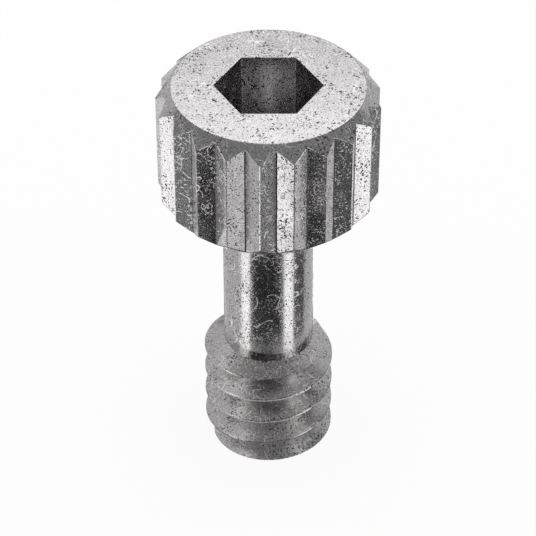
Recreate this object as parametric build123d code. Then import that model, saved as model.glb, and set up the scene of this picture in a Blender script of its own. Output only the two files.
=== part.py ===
from build123d import *

import math
import os

# Captive panel screw, #6-32 UNC: a knurled socket head, a relieved shank and a short thread,
# all turned from one bar. Millimetres. The origin is the centre of the threaded end face, and
# +Z runs up the axis towards the head.

# Thread
MAJOR_DIAMETER = 3.505
MINOR_DIAMETER = 2.531
PITCH = 25.4 / 32
FLANK_ANGLE = 30.0            # each flank from the plane across the axis
CREST_FLAT = 0.06
LOWEST_CREST = 0.225          # height over the end face at which a crest crosses +X
END_CHAMFER = 0.18            # 45 degree lead at the end face

# Shank
SHANK_DIAMETER = 2.418
SHOULDER_HEIGHT = 3.355       # where the shank runs into the threaded body
SHOULDER_FALL = 21.4          # fall of that shoulder below the horizontal, degrees
NECK_FILLET = 0.10            # under the head

# Head
OVERALL_LENGTH = 11.64
HEAD_HEIGHT = 3.505
TIP_DIAMETER = 5.77           # over the tips of the knurl
VALLEY_DIAMETER = 5.23       # over the bottoms of the knurl
FACE_DIAMETER = 4.97          # flat top face, and the flat bearing face below
CHAMFER_ANGLE = 45.0
TEETH = 21                    # straight V teeth, one of them pointing along -X

# Hexagon socket, with two of its corners on the X axis
ACROSS_FLATS = 2.42
SOCKET_DEPTH = 1.90
DRILL_POINT_ANGLE = 118.0

HEAD_BASE = OVERALL_LENGTH - HEAD_HEIGHT
MAJOR_RADIUS = MAJOR_DIAMETER / 2
MINOR_RADIUS = MINOR_DIAMETER / 2
SHANK_RADIUS = SHANK_DIAMETER / 2
TIP_RADIUS = TIP_DIAMETER / 2
VALLEY_RADIUS = VALLEY_DIAMETER / 2
FACE_RADIUS = FACE_DIAMETER / 2


def polar(radius, degrees):
    """A point in the XY plane."""
    angle = math.radians(degrees)
    return (radius * math.cos(angle), radius * math.sin(angle))


def turned(outline):
    """A solid of revolution about Z, from (radius, height) points."""
    section = make_face(Polyline([(r, 0, z) for r, z in outline], close=True))
    return revolve(section, Axis.Z, 360)


def shank_and_thread_blank():
    """The bar below the head before the thread is cut."""
    shoulder_drop = (MAJOR_RADIUS - SHANK_RADIUS) * math.tan(math.radians(SHOULDER_FALL))
    return turned([
        (0, 0),
        (MAJOR_RADIUS - END_CHAMFER, 0),
        (MAJOR_RADIUS, END_CHAMFER),
        (MAJOR_RADIUS, SHOULDER_HEIGHT - shoulder_drop),
        (SHANK_RADIUS, SHOULDER_HEIGHT),
        (SHANK_RADIUS, HEAD_BASE),
        (0, HEAD_BASE),
    ])


def groove_turn(height):
    """One right-hand turn of the helical V that is cut away, its centre starting at this height."""
    depth = MAJOR_RADIUS - MINOR_RADIUS
    overcut = 0.04                # the cutter stands this far outside the major diameter
    slope = math.tan(math.radians(FLANK_ANGLE))
    root_half = (PITCH - CREST_FLAT) / 2 - depth * slope
    mouth_half = root_half + (depth + overcut) * slope
    mouth_radius = MAJOR_RADIUS + overcut
    section = make_face(Polyline([
        (MINOR_RADIUS, 0, height - root_half),
        (mouth_radius, 0, height - mouth_half),
        (mouth_radius, 0, height + mouth_half),
        (MINOR_RADIUS, 0, height + root_half),
    ], close=True))
    path = Pos(0, 0, height) * Helix(pitch=PITCH, height=PITCH, radius=MINOR_RADIUS)
    return sweep(section, path=path, is_frenet=True)


def shank_and_thread():
    """The bar below the head with its thread cut turn by turn, out through the shoulder."""
    body = shank_and_thread_blank()
    height = LOWEST_CREST - 1.5 * PITCH
    while height < SHOULDER_HEIGHT + PITCH / 2:
        body = body - groove_turn(height)
        height = height + PITCH
    return body


def knurl_outline():
    """The star-shaped section of the head: a tip and a valley for each tooth."""
    step = 360 / TEETH
    points = []
    for tooth in range(TEETH):
        points.append(polar(TIP_RADIUS, 180 + tooth * step))
        points.append(polar(VALLEY_RADIUS, 180 + (tooth + 0.5) * step))
    return make_face(Polyline(points, close=True))


def head():
    """The knurled head, chamfered above and below, without its socket."""
    chamfer_drop = (TIP_RADIUS - FACE_RADIUS) * math.tan(math.radians(CHAMFER_ANGLE))
    blank = turned([
        (0, HEAD_BASE),
        (FACE_RADIUS, HEAD_BASE),
        (TIP_RADIUS, HEAD_BASE + chamfer_drop),
        (TIP_RADIUS, OVERALL_LENGTH - chamfer_drop),
        (FACE_RADIUS, OVERALL_LENGTH),
        (0, OVERALL_LENGTH),
    ])
    teeth = extrude(Pos(0, 0, HEAD_BASE) * knurl_outline(), amount=HEAD_HEIGHT)
    return blank & teeth


def socket():
    """The hexagon and the drill point below it."""
    floor = OVERALL_LENGTH - SOCKET_DEPTH
    corner_radius = ACROSS_FLATS / 2 / math.cos(math.radians(30))
    hexagon = extrude(Pos(0, 0, floor) * RegularPolygon(corner_radius, 6), amount=SOCKET_DEPTH)
    point_radius = ACROSS_FLATS / 2
    point_depth = point_radius / math.tan(math.radians(DRILL_POINT_ANGLE / 2))
    point = turned([(0, floor - point_depth), (point_radius, floor), (0, floor)])
    return hexagon + point


def captive_screw():
    """The finished screw, one solid."""
    body = shank_and_thread() + head()
    neck = [
        edge for edge in body.edges().filter_by(GeomType.CIRCLE)
        if abs(edge.radius - SHANK_RADIUS) < 1e-3 and abs(edge.center().Z - HEAD_BASE) < 1e-3
    ]
    body = fillet(neck, NECK_FILLET)
    return body - socket()


screw = captive_screw()
screw.label = "captive_screw"
os.makedirs("parts", exist_ok=True)
export_step(screw, "parts/captive_screw.step")
print("solids", len(screw.solids()), "valid", screw.is_valid, "volume mm3", round(screw.volume, 3))
print("box", screw.bounding_box())
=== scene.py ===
import logging
import math
from dataclasses import dataclass, field
from enum import Enum
from typing import Any, Iterable, Sequence

import bmesh
import bpy
from mathutils import Matrix, Vector


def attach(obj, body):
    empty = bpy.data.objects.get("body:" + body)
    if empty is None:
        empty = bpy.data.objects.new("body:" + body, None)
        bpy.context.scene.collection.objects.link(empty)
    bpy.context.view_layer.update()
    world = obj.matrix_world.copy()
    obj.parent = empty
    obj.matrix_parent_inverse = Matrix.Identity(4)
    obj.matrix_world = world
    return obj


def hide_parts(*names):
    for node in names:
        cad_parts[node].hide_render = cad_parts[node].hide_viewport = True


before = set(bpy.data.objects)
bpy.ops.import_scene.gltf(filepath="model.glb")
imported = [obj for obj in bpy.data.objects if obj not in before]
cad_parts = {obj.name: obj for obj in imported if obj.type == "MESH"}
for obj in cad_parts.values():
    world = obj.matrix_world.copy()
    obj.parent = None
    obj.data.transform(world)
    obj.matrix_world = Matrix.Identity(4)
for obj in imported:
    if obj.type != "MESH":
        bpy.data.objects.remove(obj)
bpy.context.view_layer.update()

# Captive panel screw, #6-32: a knurled socket head, a relieved shank and a short thread, turned
# from one bar of stainless steel. The meshes are modelled in millimetres, in the frame of the
# CAD model, and are brought to metres at the end.

log = logging.getLogger("captive_screw")

MM = 0.001                    # metres in a millimetre
TURN = 2 * math.pi
PAINTED_SHADE = "painted_shade"               # face attribute: 1 on the narrow faces that get painted shade, in the knurl valleys and under the knurl's lower rim
STEPS = 252                   # facets round the bar: 12 to a knurl tooth, 42 to a socket flat
TOUCHING = 1e-5               # corners closer than this are one, mm
SLACK = 1e-3                  # a height or radius counts as reached this near to it, mm

# Sockets of the Mix node, which has a set for each kind of value
FACTOR = 0
NUMBER_A, NUMBER_B = 2, 3
COLOUR_A, COLOUR_B = 6, 7
MIXED_COLOUR = 2

SMOOTH = {"interpolation_type": "SMOOTHSTEP"}
RAGGED = 0.55                 # weight of the finer octaves of a noise

Point = tuple[float, float]
Colour = tuple[float, float, float, float]


# ---------------------------------------------------------------------------------- helpers


def linear(code: str) -> Colour:
    """Turn an sRGB hex colour into the linear colour that a shader takes.

    Args:
        code: Six hex digits, with or without a leading hash sign.

    Returns:
        Linear red, green and blue, and an alpha of 1.
    """
    digits = code.lstrip("#")
    channels = [int(digits[i:i + 2], 16) / 255 for i in (0, 2, 4)]
    red, green, blue = (
        c / 12.92 if c <= 0.04045 else ((c + 0.055) / 1.055) ** 2.4 for c in channels
    )
    return (red, green, blue, 1.0)


def add_node(
    tree: bpy.types.NodeTree,
    kind: str,
    settings: dict[str, Any] | None = None,
    inputs: dict[str | int, Any] | None = None,
) -> bpy.types.Node:
    """Add a node to a tree with its settings, values and links.

    Args:
        tree: The node tree.
        kind: The node's type name, such as ShaderNodeMath.
        settings: Attributes of the node itself.
        inputs: For each input, by name or number, a value, an output socket to link, or a node
            whose first output to link.

    Returns:
        The new node.
    """
    node = tree.nodes.new(kind)
    for name, value in (settings or {}).items():
        setattr(node, name, value)
    for name, value in (inputs or {}).items():
        if isinstance(value, bpy.types.Node):
            value = value.outputs[0]
        if isinstance(value, bpy.types.NodeSocket):
            tree.links.new(value, node.inputs[name])
        else:
            node.inputs[name].default_value = value
    return node


def new_material(name: str) -> tuple[bpy.types.Material, bpy.types.NodeTree]:
    """Make a material with an empty node tree.

    Args:
        name: The material's name.

    Returns:
        The material and its node tree.
    """
    material = bpy.data.materials.new(name)
    material.use_nodes = True
    material.node_tree.nodes.clear()
    return material, material.node_tree


def link_object(name: str, data: bpy.types.ID | None) -> bpy.types.Object:
    """Make an object for some data and put it in the scene.

    Args:
        name: The object's name.
        data: Its mesh or camera.

    Returns:
        The new object.
    """
    made = bpy.data.objects.new(name, data)
    bpy.context.scene.collection.objects.link(made)
    return made


def to_object(name: str, bm: bmesh.types.BMesh) -> bpy.types.Object:
    """Write a bmesh into a new object in the scene, and free it.

    Args:
        name: The object's name.
        bm: The bmesh.

    Returns:
        The new object.
    """
    mesh = bpy.data.meshes.new(name)
    bm.to_mesh(mesh)
    bm.free()
    return link_object(name, mesh)


def polar(radius: float, degrees: float, height: float = 0.0) -> Vector:
    """Give the point at a radius, an angle from +X and a height."""
    angle = math.radians(degrees)
    return Vector((radius * math.cos(angle), radius * math.sin(angle), height))


def turned(outline: Sequence[Point], steps: int = STEPS) -> bmesh.types.BMesh:
    """Turn an open outline about Z and close its two ends with flat faces.

    Args:
        outline: Radius and height of each corner, none of them on the axis.
        steps: Facets in the full turn.

    Returns:
        A closed bmesh with its faces pointing outwards.
    """
    bm = bmesh.new()
    corners = [bm.verts.new((radius, 0, height)) for radius, height in outline]
    lines = [bm.edges.new(pair) for pair in zip(corners, corners[1:])]
    bmesh.ops.spin(
        bm, geom=corners + lines, cent=(0, 0, 0), axis=(0, 0, 1), angle=TURN,
        steps=steps, use_merge=True,
    )
    close(bm)
    return bm


def close(bm: bmesh.types.BMesh) -> None:
    """Merge doubles, fill open ends and point the faces outwards.

    Args:
        bm: The bmesh to close.
    """
    bmesh.ops.remove_doubles(bm, verts=bm.verts, dist=TOUCHING)
    bmesh.ops.holes_fill(bm, edges=[e for e in bm.edges if e.is_boundary], sides=0)
    bmesh.ops.recalc_face_normals(bm, faces=bm.faces)


def cut(body: bmesh.types.BMesh, cutter: bmesh.types.BMesh) -> bmesh.types.BMesh:
    """Cut one closed bmesh out of another.

    Args:
        body: What is cut. It is freed.
        cutter: What is taken away. It is freed.

    Returns:
        The remainder as a new bmesh.
    """
    work = to_object("work", body)
    tool = to_object("tool", cutter)
    boolean = work.modifiers.new("cut", "BOOLEAN")
    boolean.operation = "DIFFERENCE"
    boolean.solver = "EXACT"
    boolean.object = tool
    graph = bpy.context.evaluated_depsgraph_get()
    result = bmesh.new()
    result.from_object(work, graph)
    for done in (work, tool):
        mesh = done.data
        bpy.data.objects.remove(done)
        bpy.data.meshes.remove(mesh)
    bmesh.ops.remove_doubles(result, verts=result.verts, dist=TOUCHING)
    return result


def arc(centre: Point, radius: float, start: float, end: float, count: int) -> list[Point]:
    """Give points along an arc in an outline.

    Args:
        centre: Radius and height of the arc's centre.
        radius: The arc's radius.
        start: First angle, in degrees from outwards.
        end: Last angle.
        count: Number of spans.

    Returns:
        The points from start to end, both included.
    """
    angles = [math.radians(start + (end - start) * i / count) for i in range(count + 1)]
    return [
        (centre[0] + radius * math.cos(a), centre[1] + radius * math.sin(a)) for a in angles
    ]


# ----------------------------------------------------------------------------------- finish


@dataclass(frozen=True)
class Specks:
    """Specks that crowd together in patches.

    Attributes:
        size: Spacing of the specks, mm.
        detail: Octaves of their outline.
        thin: Value of the patches up to which there are fewest specks.
        thick: Value of the patches from which there are most.
        crowding: What the patches add to a speck's value.
        rim: Value at which a speck starts.
        core: Value from which it has its full strength.
        patch: Size of a patch, mm.
        shift: Move of the pattern, so that two kinds of specks don't lie together, mm.
    """

    size: float
    detail: float
    thin: float
    thick: float
    crowding: float
    rim: float
    core: float
    patch: float = 0.55
    shift: tuple[float, float, float] = (0.0, 0.0, 0.0)

    def mask(self, tree: bpy.types.NodeTree, place: bpy.types.Node) -> bpy.types.Node:
        """Give 1 inside the specks and 0 between them.

        Args:
            tree: The material's node tree.
            place: The place on the piece, mm.

        Returns:
            The node whose first output is the mask.
        """
        moved = add_node(
            tree, "ShaderNodeMapping", inputs={"Vector": place, "Location": self.shift},
        )
        speck = add_node(tree, "ShaderNodeTexNoise", inputs={
            "Vector": moved, "Scale": 1 / self.size, "Detail": self.detail, "Roughness": RAGGED,
        })
        patch = add_node(tree, "ShaderNodeTexNoise", inputs={
            "Vector": moved, "Scale": 1 / self.patch, "Detail": 2.0, "Roughness": RAGGED,
        })
        crowd = add_node(tree, "ShaderNodeMapRange", SMOOTH, {
            "Value": patch, "From Min": self.thin, "From Max": self.thick,
            "To Max": self.crowding,
        })
        value = add_node(tree, "ShaderNodeMath", {"operation": "ADD"}, {0: speck, 1: crowd})
        return add_node(tree, "ShaderNodeMapRange", SMOOTH, {
            "Value": value, "From Min": self.rim, "From Max": self.core,
        })


@dataclass(frozen=True)
class Scratches:
    """Fine curved scratches with gaps in them, in two sets that cross.

    Attributes:
        bend: Spacing of the curves, mm.
        core: Half width of the full scratch, as a difference of the curves' value.
        rim: Half width at which it has faded out.
        gap: Size of the gaps, mm.
        broken: Value of the gaps up to which there is no scratch.
        whole: Value from which it has its full strength.
        shifts: Move of each set, mm.
    """

    bend: float = 0.6
    core: float = 0.003
    rim: float = 0.011
    gap: float = 0.45
    broken: float = 0.5
    whole: float = 0.58
    shifts: tuple[tuple[float, float, float], ...] = ((0.0, 0.0, 0.0), (3.7, 8.2, 5.1))

    def one_set(
        self, tree: bpy.types.NodeTree, place: bpy.types.Node, shift: tuple[float, float, float],
    ) -> bpy.types.Node:
        """Give 1 along the scratches of one set, which follow a contour of a smooth noise.

        Args:
            tree: The material's node tree.
            place: The place on the piece, mm.
            shift: Move of the set, mm.

        Returns:
            The node whose first output is the mask.
        """
        moved = add_node(tree, "ShaderNodeMapping", inputs={"Vector": place, "Location": shift})
        curves = add_node(tree, "ShaderNodeTexNoise", inputs={
            "Vector": moved, "Scale": 1 / self.bend, "Detail": 0.0, "Roughness": RAGGED,
        })
        side = add_node(tree, "ShaderNodeMath", {"operation": "SUBTRACT"}, {0: curves, 1: 0.5})
        off = add_node(tree, "ShaderNodeMath", {"operation": "ABSOLUTE"}, {0: side})
        line = add_node(tree, "ShaderNodeMapRange", SMOOTH, {
            "Value": off, "From Min": self.core, "From Max": self.rim,
            "To Min": 1.0, "To Max": 0.0,
        })
        gaps = add_node(tree, "ShaderNodeTexNoise", inputs={
            "Vector": moved, "Scale": 1 / self.gap, "Detail": 1.0, "Roughness": RAGGED,
        })
        kept = add_node(tree, "ShaderNodeMapRange", SMOOTH, {
            "Value": gaps, "From Min": self.broken, "From Max": self.whole,
        })
        return add_node(tree, "ShaderNodeMath", {"operation": "MULTIPLY"}, {0: line, 1: kept})

    def mask(self, tree: bpy.types.NodeTree, place: bpy.types.Node) -> bpy.types.Node:
        """Give 1 along the scratches of both sets.

        Args:
            tree: The material's node tree.
            place: The place on the piece, mm.

        Returns:
            The node whose first output is the mask.
        """
        sets = [self.one_set(tree, place, shift) for shift in self.shifts]
        return add_node(
            tree, "ShaderNodeMath", {"operation": "MAXIMUM"}, dict(enumerate(sets)),
        )


@dataclass(frozen=True)
class TumbledStainless:
    """Stainless steel 303, turned and then tumbled with its fellows.

    It is a bright, nearly neutral metal. The tumbling leaves dense pinprick pits in patches,
    fine curved scratches and a slightly uneven sheen, so a facet that mirrors a light shows
    dark specks and one that mirrors shade shows pale ones. Real pits are about 0.02 mm across,
    and are drawn a little coarser to show.

    Attributes:
        metal: Colour of the clean steel.
        worn: Share of its colour that is left in the darkest of the grain.
        pit_stain_and_painted_shade: Colour inside a pit, and of the painted shade in the knurl
            valleys and under the knurl's lower rim.
        rubbed: Colour of a fleck or scratch rubbed bright.
        pits: The pits.
        flecks: Flecks that the tumbling has dulled, mostly clear of the pits.
        fleck_depth: Strength of a fleck beside a scratch.
        scratches: The scratches.
        grain: Size of the turning and tumbling grain, mm.
        sheen: Size of the cloudy unevenness in the sheen, mm.
        polish: Least and most roughness of the clean steel.
        grain_dulling: Roughness that the grain adds.
        thread_end: Height up to which the cut thread and shoulder reach, mm.
        thread_fade: Height over which their dullness ends, mm.
        thread_dulling: Roughness that cutting adds there.
        dull: Roughness inside a pit or a scratch.
        relief: Depth of the pits and scratches, mm.
        relief_strength: Strength of their shading.
    """

    metal: str = "D3D1D1"
    worn: float = 0.55
    # dark colour of the pits, also used as painted shade in the knurl valleys and under the
    # knurl's lower rim
    pit_stain_and_painted_shade: str = "565454"
    rubbed: str = "F4F2F2"
    pits: Specks = Specks(
        size=0.054, detail=1.5, thin=0.35, thick=0.68, crowding=0.10, rim=0.66, core=0.70,
    )
    flecks: Specks = Specks(
        size=0.05, detail=2.0, thin=0.3, thick=0.7, crowding=0.12, rim=0.665, core=0.72,
        shift=(7.3, 2.1, 4.4),
    )
    fleck_depth: float = 0.75
    scratches: Scratches = Scratches()
    grain: float = 0.028
    sheen: float = 0.88
    polish: tuple[float, float] = (0.09, 0.19)
    grain_dulling: float = 0.08
    thread_end: float = 3.25
    thread_fade: float = 0.25
    thread_dulling: float = 0.12
    dull: float = 0.6
    relief: float = 0.006
    relief_strength: float = 0.35

    def colour(
        self, tree: bpy.types.NodeTree, grain: bpy.types.Node, pits: bpy.types.Node,
        dents: bpy.types.Node,
    ) -> bpy.types.NodeSocket:
        """Colour the steel: grained, rubbed bright on its dents, stained in pits, and with
        painted shade in the knurl valleys and under the knurl's lower rim.

        Args:
            tree: The material's node tree.
            grain: The grain.
            pits: The mask of the pits.
            dents: The mask of the scratches and flecks.

        Returns:
            The colour.
        """
        left = add_node(tree, "ShaderNodeMapRange", SMOOTH, {
            "Value": grain, "From Min": 0.34, "From Max": 0.66, "To Min": self.worn,
        })
        clean = add_node(
            tree, "ShaderNodeMix", {"data_type": "RGBA", "blend_type": "MULTIPLY"},
            {FACTOR: 1.0, COLOUR_A: linear(self.metal), COLOUR_B: left},
        )
        bright = add_node(tree, "ShaderNodeMix", {"data_type": "RGBA"}, {
            FACTOR: dents, COLOUR_A: clean.outputs[MIXED_COLOUR],
            COLOUR_B: linear(self.rubbed),
        })
        # painted shade: the marked faces in the knurl valleys and under the lower rim take the
        # dark pit colour
        corners = add_node(tree, "ShaderNodeAttribute", {"attribute_name": PAINTED_SHADE})
        pits_and_painted_shade = add_node(
            tree, "ShaderNodeMath", {"operation": "MAXIMUM"},
            {0: pits, 1: corners.outputs["Fac"]},
        )
        stained_and_shaded = add_node(tree, "ShaderNodeMix", {"data_type": "RGBA"}, {
            FACTOR: pits_and_painted_shade, COLOUR_A: bright.outputs[MIXED_COLOUR],
            COLOUR_B: linear(self.pit_stain_and_painted_shade),
        })
        return stained_and_shaded.outputs[MIXED_COLOUR]

    def threaded(self, tree: bpy.types.NodeTree, place: bpy.types.Node) -> bpy.types.Node:
        """Give the roughness that cutting adds on the thread and its shoulder, 0 above them.

        Args:
            tree: The material's node tree.
            place: The place on the piece, mm.

        Returns:
            The node whose first output is that roughness.
        """
        parts = add_node(tree, "ShaderNodeSeparateXYZ", inputs={"Vector": place})
        below = add_node(tree, "ShaderNodeMapRange", SMOOTH, {
            "Value": parts.outputs["Z"], "From Min": self.thread_end,
            "From Max": self.thread_end + self.thread_fade, "To Min": 1.0, "To Max": 0.0,
        })
        return add_node(
            tree, "ShaderNodeMath", {"operation": "MULTIPLY"},
            {0: below, 1: self.thread_dulling},
        )

    def roughness(
        self, tree: bpy.types.NodeTree, place: bpy.types.Node, grain: bpy.types.Node,
        marks: bpy.types.Node,
    ) -> bpy.types.Node:
        """Vary the roughness with sheen, grain and thread, and dull the marks.

        Args:
            tree: The material's node tree.
            place: The place on the piece, mm.
            grain: The grain.
            marks: The mask of all pits, scratches and flecks.

        Returns:
            The node whose first output is the roughness.
        """
        clouds = add_node(tree, "ShaderNodeTexNoise", inputs={
            "Vector": place, "Scale": 1 / self.sheen, "Detail": 3.0, "Roughness": RAGGED,
        })
        least, most = self.polish
        sheen = add_node(tree, "ShaderNodeMapRange", SMOOTH, {
            "Value": clouds, "From Min": 0.3, "From Max": 0.7, "To Min": least, "To Max": most,
        })
        ground = add_node(tree, "ShaderNodeMapRange", SMOOTH, {
            "Value": grain, "From Min": 0.35, "From Max": 0.7, "To Max": self.grain_dulling,
        })
        plain = add_node(tree, "ShaderNodeMath", {"operation": "ADD"}, {0: sheen, 1: ground})
        clean = add_node(
            tree, "ShaderNodeMath", {"operation": "ADD"},
            {0: plain, 1: self.threaded(tree, place)},
        )
        return add_node(
            tree, "ShaderNodeMix", {"data_type": "FLOAT"},
            {FACTOR: marks, NUMBER_A: clean, NUMBER_B: self.dull},
        )

    def bumps(
        self, tree: bpy.types.NodeTree, grain: bpy.types.Node, marks: bpy.types.Node,
    ) -> bpy.types.Node:
        """Raise the grain a little and sink the marks.

        Args:
            tree: The material's node tree.
            grain: The grain.
            marks: The mask of all pits, scratches and flecks.

        Returns:
            The bump node.
        """
        shallow = add_node(
            tree, "ShaderNodeMath", {"operation": "MULTIPLY"}, {0: grain, 1: 0.25},
        )
        height = add_node(
            tree, "ShaderNodeMath", {"operation": "SUBTRACT"}, {0: shallow, 1: marks},
        )
        return add_node(tree, "ShaderNodeBump", inputs={
            "Strength": self.relief_strength, "Distance": self.relief * MM, "Height": height,
        })

    def material(self) -> bpy.types.Material:
        """Build the finish.

        Returns:
            Its material.
        """
        material, tree = new_material("stainless_steel_turned_and_tumbled")
        where = add_node(tree, "ShaderNodeTexCoord").outputs["Object"]
        place = add_node(
            tree, "ShaderNodeMapping",
            inputs={"Vector": where, "Scale": (1 / MM, 1 / MM, 1 / MM)},
        )
        grain = add_node(tree, "ShaderNodeTexNoise", inputs={
            "Vector": place, "Scale": 1 / self.grain, "Detail": 2.0, "Roughness": RAGGED,
        })
        pits = self.pits.mask(tree, place)
        flecks = add_node(
            tree, "ShaderNodeMath", {"operation": "MULTIPLY"},
            {0: self.flecks.mask(tree, place), 1: self.fleck_depth},
        )
        dents = add_node(
            tree, "ShaderNodeMath", {"operation": "MAXIMUM"},
            {0: self.scratches.mask(tree, place), 1: flecks},
        )
        marks = add_node(
            tree, "ShaderNodeMath", {"operation": "MAXIMUM"}, {0: pits, 1: dents},
        )
        steel = add_node(tree, "ShaderNodeBsdfPrincipled", inputs={
            "Metallic": 1.0,
            "Base Color": self.colour(tree, grain, pits, dents),
            "Roughness": self.roughness(tree, place, grain, marks),
            "Normal": self.bumps(tree, grain, marks),
        })
        add_node(tree, "ShaderNodeOutputMaterial", inputs={"Surface": steel})
        return material


# -------------------------------------------------------------------------------- the screw


@dataclass
class Head:
    """The knurled head with its hexagon socket. Sizes in mm.

    Attributes:
        base: Height of the flat bearing face.
        height: From the bearing face to the top face.
        tip_radius: At the tips of the knurl.
        valley_radius: At the bottoms of the knurl.
        face_radius: Of the flat top face, and of the flat bearing face.
        teeth: Straight V teeth, one of them pointing along -X.
        across_flats: Of the socket.
        socket_depth: Of the hexagon, to where the drill point starts.
        drill_point: Full angle of the drill point, degrees.
        broken: Width of the broken edges.
    """

    base: float = 8.135
    height: float = 3.505
    tip_radius: float = 2.885
    valley_radius: float = 2.615
    face_radius: float = 2.485
    teeth: int = 21
    across_flats: float = 2.42
    socket_depth: float = 1.90
    drill_point: float = 118.0
    broken: float = 0.021

    @property
    def top(self) -> float:
        """Height of the top face."""
        return self.base + self.height

    def outline(self) -> list[Point]:
        """Give the head's outline from its bearing face up, before knurling.

        Both chamfers are 45 degrees and run on past the knurl, which trims them.

        Returns:
            Points from the bearing face to the top face.
        """
        chamfer = 0.78
        return [
            (self.face_radius, self.base),
            (self.face_radius + chamfer, self.base + chamfer),
            (self.face_radius + chamfer, self.top - chamfer),
            (self.face_radius, self.top),
        ]

    def knurl(self) -> bmesh.types.BMesh:
        """Make the ring that is cut away to leave the V teeth standing.

        Returns:
            The ring as a closed bmesh.
        """
        wall = 1.5                    # thickness of the ring at the tips
        spare = 0.5                   # how far it stands past the head, above and below
        bm = bmesh.new()
        star = bmesh.ops.create_circle(bm, segments=2 * self.teeth, radius=self.tip_radius)
        rim = sorted(star["verts"], key=lambda v: math.atan2(v.co.y, v.co.x) % TURN)
        for place, vert in enumerate(rim):
            radius = self.valley_radius if place % 2 else self.tip_radius
            vert.co = polar(radius, 180 + place * 180 / self.teeth)
        outer = bmesh.ops.create_circle(
            bm, segments=2 * self.teeth, radius=self.tip_radius + wall,
        )
        bmesh.ops.rotate(
            bm, verts=outer["verts"], cent=(0, 0, 0), matrix=Matrix.Rotation(math.pi, 3, "Z"),
        )
        bmesh.ops.bridge_loops(bm, edges=list(bm.edges))
        sheet = list(bm.faces)
        raised = bmesh.ops.extrude_face_region(bm, geom=sheet)
        bmesh.ops.translate(
            bm, vec=(0, 0, self.height + 2 * spare),
            verts=[g for g in raised["geom"] if isinstance(g, bmesh.types.BMVert)],
        )
        bmesh.ops.translate(bm, vec=(0, 0, self.base - spare), verts=bm.verts)
        bmesh.ops.recalc_face_normals(bm, faces=bm.faces)
        return bm

    def hexagon(self) -> bmesh.types.BMesh:
        """Make the socket's hexagon, two of its corners along X.

        Returns:
            The hexagon as a closed bmesh.
        """
        spare = 0.5                   # how far it stands out of the top face
        bm = bmesh.new()
        corner = self.across_flats / 2 / math.cos(math.pi / 6)
        bmesh.ops.create_cone(
            bm, cap_ends=True, segments=6, radius1=corner, radius2=corner,
            depth=self.socket_depth + spare,
        )
        first = bm.verts[:][0].co
        lean = math.atan2(first.y, first.x) % (TURN / 6)
        bmesh.ops.rotate(
            bm, verts=bm.verts, cent=(0, 0, 0), matrix=Matrix.Rotation(-lean, 3, "Z"),
        )
        middle = self.top - self.socket_depth + (self.socket_depth + spare) / 2
        bmesh.ops.translate(bm, verts=bm.verts, vec=(0, 0, middle))
        return bm

    def drill(self) -> bmesh.types.BMesh:
        """Make the drill point below the hexagon.

        Returns:
            The drill point, and a short length above it, as a closed bmesh.
        """
        clear = 0.004                 # the drill stays clear of the hexagon's flats
        web = 0.01                    # radius of the flat at the very point
        lift = 0.2                    # how far it reaches up into the hexagon
        radius = self.across_flats / 2 - clear
        floor = self.top - self.socket_depth
        slope = math.tan(math.radians(self.drill_point / 2))
        return turned([
            (web, floor - (radius - web) / slope),
            (radius, floor),
            (radius, floor + lift),
            (web, floor + lift),
        ], steps=96)


@dataclass
class Shank:
    """The relieved shank between head and thread. Sizes in mm.

    Attributes:
        radius: Of the shank.
        foot: Height at which it runs into the threaded body.
        fall: Slope of that shoulder below the horizontal, degrees.
        fillet: Radius of the neck fillet under the head.
    """

    radius: float = 1.209
    foot: float = 3.355
    fall: float = 21.4
    fillet: float = 0.10

    def outline(self, major: float, head: Head) -> list[Point]:
        """Give the outline from the shoulder's rim up to the neck.

        Args:
            major: Radius of the threaded body below.
            head: The head above.

        Returns:
            Points from the shoulder's rim to the bearing face.
        """
        drop = (major - self.radius) * math.tan(math.radians(self.fall))
        neck = arc(
            (self.radius + self.fillet, head.base - self.fillet), self.fillet, 180, 90, 12,
        )
        return [(major, self.foot - drop), (self.radius, self.foot), *neck]


@dataclass
class Thread:
    """The #6-32 thread, right-handed. Sizes in mm.

    Attributes:
        major: Radius over the crests.
        minor: Radius at the roots.
        pitch: Rise of one turn.
        flank: Slope of each flank from the plane across the axis, degrees.
        crest: Width of the flat on each crest.
        start: Height at which the lowest crest crosses +X.
        chamfer: Width of the 45 degree lead at the end face.
        softened: Width of the softened corner on each side of a crest.
        steps: Spans in one turn of the groove.
    """

    major: float = 1.7525
    minor: float = 1.2655
    pitch: float = 25.4 / 32
    flank: float = 30.0
    crest: float = 0.06
    start: float = 0.225
    chamfer: float = 0.18
    softened: float = 0.012
    steps: int = 180

    def outline(self) -> list[Point]:
        """Give the outline from the end face to the body's side."""
        return [(self.major - self.chamfer, 0.0), (self.major, self.chamfer)]

    def groove(self, top: float) -> bmesh.types.BMesh:
        """Make the helical V that is cut away.

        Args:
            top: Height of the shoulder that the groove runs out through.

        Returns:
            The groove as a closed bmesh.
        """
        outside = 0.05                # how far the cutter stands out past the crests
        flare = 1.4                   # slope of the softened corners and on outwards
        slope = math.tan(math.radians(self.flank))
        mouth = (self.pitch - self.crest) / 2
        root = mouth - (self.major - self.minor) * slope
        corner = mouth - self.softened * slope
        half = [
            (self.minor, root),
            (self.major - self.softened, corner),
            (self.major + outside, corner + (outside + self.softened) * flare),
        ]
        height = self.start - 1.5 * self.pitch
        turns = math.ceil((top + self.pitch / 2 - height) / self.pitch)
        bm = bmesh.new()
        loop = [(r, height - h) for r, h in half] + [(r, height + h) for r, h in reversed(half)]
        corners = [bm.verts.new((r, 0, z)) for r, z in loop]
        section = [bm.edges.new(pair) for pair in zip(corners, corners[1:] + corners[:1])]
        count = turns * self.steps
        bmesh.ops.spin(
            bm, geom=corners + section, cent=(0, 0, 0), axis=(0, 0, 1),
            dvec=(0, 0, self.pitch / self.steps), angle=turns * TURN, steps=count,
        )
        close(bm)
        bmesh.ops.triangulate(bm, faces=bm.faces)
        return bm


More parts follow.
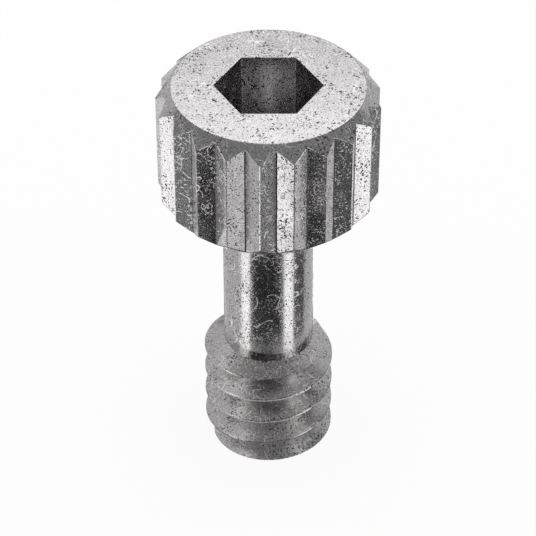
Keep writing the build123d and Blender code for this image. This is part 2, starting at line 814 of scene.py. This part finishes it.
@dataclass
class CaptiveScrew:
    """The whole screw, one piece of steel.

    Attributes:
        head: Its head.
        shank: Its shank.
        thread: Its thread.
        finish: Its finish.
    """

    head: Head = field(default_factory=Head)
    shank: Shank = field(default_factory=Shank)
    thread: Thread = field(default_factory=Thread)
    finish: TumbledStainless = field(default_factory=TumbledStainless)

    def bar(self) -> bmesh.types.BMesh:
        """Turn the plain bar, before knurling, threading and broaching.

        Returns:
            The bar as a closed bmesh.
        """
        return turned([
            *self.thread.outline(),
            *self.shank.outline(self.thread.major, self.head),
            *self.head.outline(),
        ])

    def is_sharp(self, edge: bmesh.types.BMEdge) -> bool:
        """Tell whether an edge gets broken.

        The edges at the floor of the socket aren't, because nothing rubs there, and those of the
        thread are softened as it is cut.

        Args:
            edge: An edge of the cut bar.

        Returns:
            True for a sharp edge of the head.
        """
        lowest, highest = sorted(v.co.z for v in edge.verts)
        reach = max(v.co.xy.length for v in edge.verts)
        floor = self.head.top - self.head.socket_depth
        deep = highest < floor + SLACK and reach < self.head.across_flats
        turn = math.degrees(edge.calc_face_angle(0))
        return edge.is_manifold and turn > 25 and lowest > self.head.base - SLACK and not deep

    def gets_painted_shade(self, face: bmesh.types.BMFace) -> bool:
        """Tell whether a narrow face gets painted shade.

        Args:
            face: A face of a broken edge.

        Returns:
            True at the bottom of a knurl valley and round the lower rim of the knurl, where the
            shade is painted.
        """
        beyond_socket = 2.0
        above_bearing = 0.05
        level = 0.1                   # upward part of a normal that still counts as upright
        place = face.calc_center_median()
        valley = (
            beyond_socket < place.xy.length < self.head.valley_radius + self.head.broken
            and abs(face.normal.z) < level
        )
        rim = face.normal.z < -level and place.z > self.head.base + above_bearing
        return valley or rim

    def soften(self, bm: bmesh.types.BMesh) -> None:
        """Break the head's sharp edges and mark the narrow faces that get painted shade.

        Args:
            bm: The cut bar.
        """
        # painted shade: marks the faces in the knurl valleys and under the knurl's lower rim,
        # which the steel's colour darkens
        painted_shade = bm.faces.layers.float.new(PAINTED_SHADE)
        broken = bmesh.ops.bevel(
            bm, geom=[e for e in bm.edges if self.is_sharp(e)], offset=self.head.broken,
            offset_type="OFFSET", segments=2, profile=0.5, affect="EDGES", material=-1,
            clamp_overlap=False,
        )
        for face in broken["faces"]:
            face[painted_shade] = float(self.gets_painted_shade(face))

    def build(self) -> bpy.types.Object:
        """Make the screw, dress it and tie it to the frame.

        Returns:
            The finished piece.
        """
        body = cut(self.bar(), self.head.knurl())
        body = cut(body, self.head.hexagon())
        body = cut(body, self.head.drill())
        body = cut(body, self.thread.groove(self.shank.foot))
        self.soften(body)
        bmesh.ops.scale(body, verts=body.verts, vec=(MM, MM, MM))
        piece = to_object("captive_screw_steel", body)
        piece.data.materials.append(self.finish.material())
        piece.data.polygons.foreach_set("use_smooth", [True] * len(piece.data.polygons))
        piece.data.set_sharp_from_angle(angle=math.radians(10))
        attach(piece, "root")
        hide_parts("captive_screw")
        return piece


# -------------------------------------------------------------------------------- the studio

DEGREES_PER_STEP = 3          # of a card's curve


class Tone(Enum):
    """Brightness of a reflector card, where 1 is white."""

    LAMP = 1.8
    BRIGHT = 1.35
    WHITE = 1.0
    PALE = 0.8
    GREY = 0.66
    DIM = 0.3
    SHADE = 0.26
    DUSK = 0.1
    BLACK = 0.035


@dataclass(frozen=True)
class Card:
    """A curved reflector card that stands round the screw. Only the metal sees it.

    Attributes:
        start: First azimuth in degrees, 0 at the camera's side and 90 at +X.
        end: Last azimuth.
        tone: Its brightness.
        radius: Distance from the axis, mm.
        low: Height of its lower edge, mm.
        high: Height of its upper edge, mm.
        top_radius: Distance of its upper edge from the axis, if it leans, mm.
    """

    start: float
    end: float
    tone: Tone
    radius: float
    low: float
    high: float
    top_radius: float | None = None

    def build(self, name: str, material: bpy.types.Material) -> bpy.types.Object:
        """Spin the card's edge over its sector.

        Args:
            name: The card's name.
            material: Its glowing material.

        Returns:
            The card, hidden from the camera, from diffuse and transmission rays and from shadows.
        """
        bm = bmesh.new()
        upper = self.radius if self.top_radius is None else self.top_radius
        start = polar(self.radius, self.start - 90, self.low)
        end = polar(upper, self.start - 90, self.high)
        ends = [bm.verts.new(start), bm.verts.new(end)]
        edge = bm.edges.new(ends)
        span = self.end - self.start
        bmesh.ops.spin(
            bm, geom=[*ends, edge], cent=(0, 0, 0), axis=(0, 0, 1),
            angle=math.radians(span), steps=max(2, round(span / DEGREES_PER_STEP)),
        )
        bmesh.ops.scale(bm, verts=bm.verts, vec=(MM, MM, MM))
        card = to_object(name, bm)
        card.data.materials.append(material)
        card.visible_camera = False
        card.visible_diffuse = False
        card.visible_shadow = False
        card.visible_transmission = False
        return card


@dataclass
class Studio:
    """A white table in soft light, with cards round the screw and a camera above.

    Attributes:
        cards: The reflector cards.
        aim: The point the camera looks at, mm.
        elevation: Angle of the camera above the horizon, degrees.
        distance: From the camera to that point, mm.
        lens: Focal length, mm.
        table: Half the width of the table, mm.
        table_glow: Share of the table's white that doesn't take a shadow.
    """

    cards: Sequence[Card] = ()
    aim: tuple[float, float, float] = (-0.0142, 0.0, 5.6294)
    elevation: float = 39.718
    distance: float = 66.488
    lens: float = 166.61
    table: float = 900.0
    table_glow: float = 0.90

    def glow(self, tone: Tone) -> bpy.types.Material:
        """Make the material of the cards of one tone.

        Args:
            tone: Their brightness.

        Returns:
            A material that glows.
        """
        material, tree = new_material(f"card_{tone.name.lower()}")
        light = add_node(tree, "ShaderNodeEmission", inputs={"Strength": tone.value})
        add_node(tree, "ShaderNodeOutputMaterial", inputs={"Surface": light})
        material.cycles.emission_sampling = "NONE"
        return material

    def seen(self, tree: bpy.types.NodeTree) -> bpy.types.Node:
        """Give 1 for rays from the camera, off metal and through glass, and 0 for other rays.

        Args:
            tree: The table's node tree.

        Returns:
            The node whose first output says so.
        """
        path = add_node(tree, "ShaderNodeLightPath").outputs
        first = add_node(
            tree, "ShaderNodeMath", {"operation": "MAXIMUM"},
            {0: path["Is Camera Ray"], 1: path["Is Glossy Ray"]},
        )
        return add_node(
            tree, "ShaderNodeMath", {"operation": "MAXIMUM"},
            {0: first, 1: path["Is Transmission Ray"]},
        )

    def lay_table(self) -> None:
        """Lay the white table under the screw."""
        bm = bmesh.new()
        bmesh.ops.create_grid(bm, x_segments=1, y_segments=1, size=self.table * MM)
        table = to_object("table", bm)
        material, tree = new_material("table_white_matt_board")
        board = add_node(
            tree, "ShaderNodeBsdfDiffuse", inputs={"Color": linear("F2F2F2")},
        )
        white = add_node(tree, "ShaderNodeEmission", inputs={"Strength": 1.0})
        share = add_node(
            tree, "ShaderNodeMath", {"operation": "MULTIPLY"},
            {0: self.seen(tree), 1: self.table_glow},
        )
        surface = add_node(tree, "ShaderNodeMixShader", inputs={0: share, 1: board, 2: white})
        add_node(tree, "ShaderNodeOutputMaterial", inputs={"Surface": surface})
        material.cycles.emission_sampling = "NONE"
        table.data.materials.append(material)

    def light(self) -> None:
        """Light the room evenly with a white sky."""
        world = bpy.data.worlds.new("white_room")
        world.use_nodes = True
        tree = world.node_tree
        tree.nodes.clear()
        sky = add_node(
            tree, "ShaderNodeBackground", inputs={"Color": (1, 1, 1, 1), "Strength": 1.0},
        )
        add_node(tree, "ShaderNodeOutputWorld", inputs={"Surface": sky})
        bpy.context.scene.world = world

    def stand_cards(self) -> None:
        """Stand the reflector cards round the screw."""
        glows: dict[Tone, bpy.types.Material] = {}
        for number, card in enumerate(self.cards):
            if card.tone not in glows:
                glows[card.tone] = self.glow(card.tone)
            card.build(f"card_{number:02d}", glows[card.tone])

    def place_camera(self) -> None:
        """Put the camera in front of the screw, looking down at it."""
        data = bpy.data.cameras.new("camera")
        data.lens = self.lens
        data.sensor_width = 36.0
        data.clip_start = 1 * MM
        data.clip_end = 4 * self.table * MM
        camera = link_object("camera", data)
        lean = math.radians(self.elevation)
        back = Vector((0, -math.cos(lean), math.sin(lean)))
        camera.location = (Vector(self.aim) + back * self.distance) * MM
        camera.rotation_mode = "QUATERNION"
        camera.rotation_quaternion = (-back).to_track_quat("-Z", "Y")
        bpy.context.scene.camera = camera

    def build(self) -> None:
        """Set up table, light, cards and camera."""
        bpy.context.scene.view_settings.view_transform = "Standard"
        self.lay_table()
        self.light()
        self.stand_cards()
        self.place_camera()


def around(
    radius: float, low: float, high: float, start: float, stops: Iterable[tuple[float, Tone]],
) -> list[Card]:
    """Lay out cards side by side round the screw.

    Args:
        radius: Their distance from the axis, mm.
        low: Height of their lower edge, mm.
        high: Height of their upper edge, mm.
        start: Azimuth at which the first begins, degrees.
        stops: For each card the azimuth at which it ends, and its tone.

    Returns:
        The cards.
    """
    cards = []
    for end, tone in stops:
        cards.append(Card(start, end, tone, radius, low, high))
        start = end
    return cards


def studio_cards() -> list[Card]:
    """Give every card of the studio.

    Returns:
        The rings that the knurl, the shank and the thread mirror, the shades on the table that
        the end lead and the lower rim mirror, and the panels that the top and its chamfer mirror.
    """
    knurl = around(6.5, 2.5, 10.5, -140, [
        (-110, Tone.PALE), (-82, Tone.WHITE), (-65.5, Tone.LAMP), (-52, Tone.GREY),
        (-36, Tone.SHADE), (-23.5, Tone.LAMP), (7, Tone.BLACK), (21, Tone.WHITE),
        (37, Tone.DUSK), (50, Tone.SHADE), (67, Tone.LAMP), (81, Tone.PALE),
        (98, Tone.SHADE), (130, Tone.GREY), (156, Tone.PALE), (168, Tone.DUSK),
        (182, Tone.LAMP), (194, Tone.GREY), (208, Tone.BLACK), (220, Tone.PALE),
    ])
    shank = around(4.2, 1.1, 5.9, -146, [
        (-64, Tone.GREY), (-42, Tone.LAMP), (-36, Tone.SHADE), (28, Tone.BLACK),
        (35, Tone.SHADE), (58, Tone.LAMP), (92, Tone.DUSK), (145, Tone.GREY),
        (160, Tone.LAMP), (188, Tone.BLACK), (204, Tone.LAMP), (214, Tone.SHADE),
    ])
    thread = around(4.2, 0.2, 1.1, -146, [
        (-64, Tone.GREY), (-42, Tone.BRIGHT), (-16, Tone.GREY), (8, Tone.DIM),
        (35, Tone.GREY), (58, Tone.BRIGHT), (145, Tone.GREY),
    ])
    shades = [
        Card(-180, 180, Tone.SHADE, 1.8, 0.02, 0.02, 3.3),
        Card(-180, 180, Tone.BLACK, 4.4, 0.02, 0.02, 6.4),
    ]
    chamfer = [
        Card(-165, -100, Tone.GREY, 6.5, 10.5, 14.0),
        Card(100, 165, Tone.GREY, 6.5, 10.5, 14.0),
        Card(-125, 125, Tone.DIM, 14.0, 11.0, 34.0, 6.0),
    ]
    top = [
        Card(125, 235, Tone.WHITE, 20.0, 11.0, 25.0),
        Card(125, 235, Tone.BRIGHT, 20.0, 25.0, 27.5),
        Card(125, 235, Tone.LAMP, 20.0, 27.5, 44.0),
    ]
    return [*knurl, *shank, *thread, *shades, *chamfer, *top]


def main() -> None:
    """Build the screw and its studio, and report each piece."""
    logging.basicConfig(level=logging.INFO, format="%(name)s: %(message)s")
    screw = CaptiveScrew().build()
    log.info("%s: %d faces", screw.name, len(screw.data.polygons))
    Studio(cards=studio_cards()).build()


if __name__ == "__main__":
    main()
